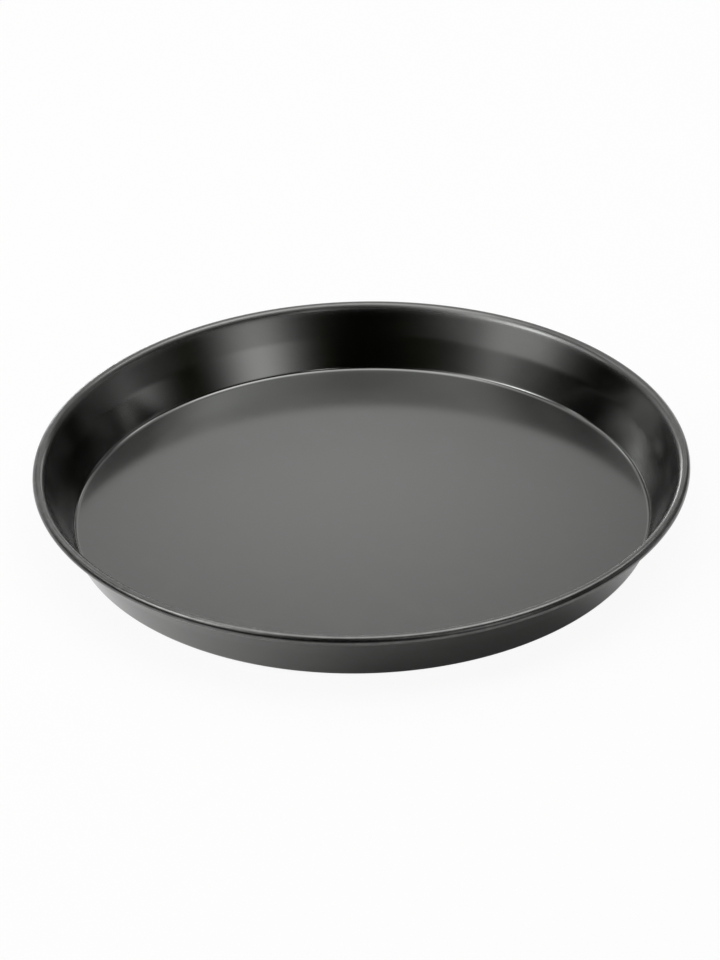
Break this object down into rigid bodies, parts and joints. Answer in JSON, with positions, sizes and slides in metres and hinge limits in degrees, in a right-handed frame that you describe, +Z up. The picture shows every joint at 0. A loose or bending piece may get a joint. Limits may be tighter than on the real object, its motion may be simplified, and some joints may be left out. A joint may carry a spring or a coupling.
{
  "type": "pizza pan",
  "caption": "Shallow round pizza pan pressed from sheet steel: flat floor, flared wall, and a rim rolled outwards round a wire ring.",
  "frame": {"origin": "centre of the pan's underside, on the surface that it stands on", "axes": "+Z up out of the pan along its axis of rotation; +Y points to the back, where the rim wire's ends meet; X and Y are otherwise alike"},
  "size_m": [0.3, 0.3, 0.03],
  "materials": {
    "coated_steel": "dark grey non-stick coating, satin",
    "bare_wire": "bare drawn wire"
  },
  "bodies": {
    "root": {"pan_body": "coated_steel", "rim_wire": "bare_wire"}
  },
  "joints": []
}
